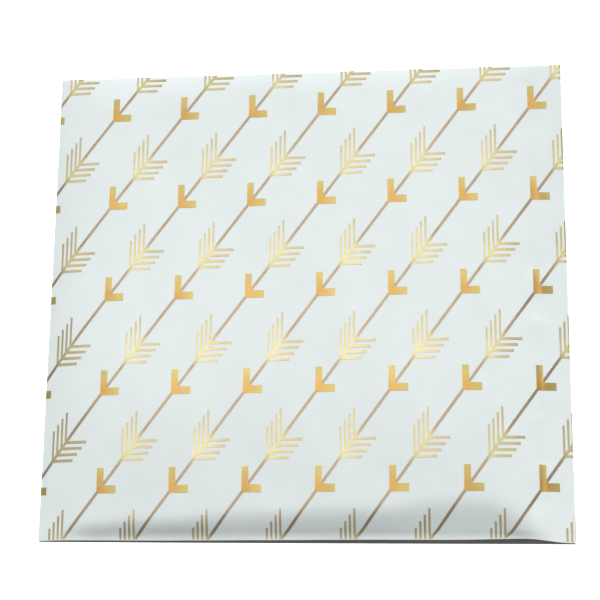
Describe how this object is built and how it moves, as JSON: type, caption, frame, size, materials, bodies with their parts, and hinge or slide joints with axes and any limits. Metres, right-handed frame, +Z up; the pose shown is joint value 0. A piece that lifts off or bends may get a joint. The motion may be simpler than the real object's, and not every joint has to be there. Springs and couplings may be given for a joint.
{
  "type": "flat gift bag",
  "caption": "Flat paper gift bag printed with foil arrows; the mouth opens as the front wall swings up and both sides fold in.",
  "frame": {"origin": "centre of the bag's footprint, on the table it lies on", "axes": "+X across the bag towards the glued side seam, +Y from the open mouth to the closed end, +Z up out of the front wall"},
  "size_m": [0.16, 0.15, 0.0043],
  "materials": {
    "paper": "white coated paper with a very pale mint cast and a soft sheen",
    "gold_foil": "hot-stamped gold foil, semi-gloss",
    "glue": "dried clear paper adhesive"
  },
  "bodies": {
    "back": {"back_centre": "paper", "foil_back_centre": "gold_foil", "bottom_flap": "paper", "foil_bottom_flap": "gold_foil", "bottom_glue": "glue", "bottom_fold": "paper"},
    "front": {"front_centre": "paper", "foil_front_centre": "gold_foil"},
    "front_left": {"front_left": "paper", "foil_front_left": "gold_foil"},
    "front_right": {"front_right": "paper", "foil_front_right": "gold_foil"},
    "back_left": {"back_left": "paper", "foil_back_left": "gold_foil", "left_fold": "paper"},
    "back_right": {"back_right": "paper", "foil_back_right": "gold_foil", "right_fold": "paper", "seam_tab": "paper", "foil_seam_tab": "gold_foil", "seam_glue": "glue"}
  },
  "joints": [
    {"name": "mouth_open", "type": "hinge", "parent": "back", "child": "front", "pos_m": [0, 0.07454, 0.00047], "axis": [-1, 0, 0], "range_deg": [0, 12]},
    {"name": "front_left_crease", "type": "hinge", "parent": "front", "child": "front_left", "pos_m": [-0.07964, 0.07454, 0.00084], "axis": [0.3986, -0.9169, 0.0208], "range_deg": [0, 15.6]},
    {"name": "back_left_crease", "type": "hinge", "parent": "back", "child": "back_left", "pos_m": [-0.07964, 0.07454, 0.0003], "axis": [-0.3986, 0.9171, 0], "range_deg": [0, 15.6]},
    {"name": "front_right_crease", "type": "hinge", "parent": "front", "child": "front_right", "pos_m": [0.07953, 0.07454, 0.00084], "axis": [0.3986, 0.9169, -0.0208], "range_deg": [0, 15.6]},
    {"name": "back_right_crease", "type": "hinge", "parent": "back", "child": "back_right", "pos_m": [0.07953, 0.07454, 0.0003], "axis": [-0.3986, -0.9171, 0], "range_deg": [0, 15.6]}
  ],
  "couplings": [
    {"joint": "front_left_crease", "follows": "mouth_open", "ratio": 1.2593},
    {"joint": "back_left_crease", "follows": "mouth_open", "ratio": 1.2593},
    {"joint": "front_right_crease", "follows": "mouth_open", "ratio": 1.2593},
    {"joint": "back_right_crease", "follows": "mouth_open", "ratio": 1.2593}
  ]
}
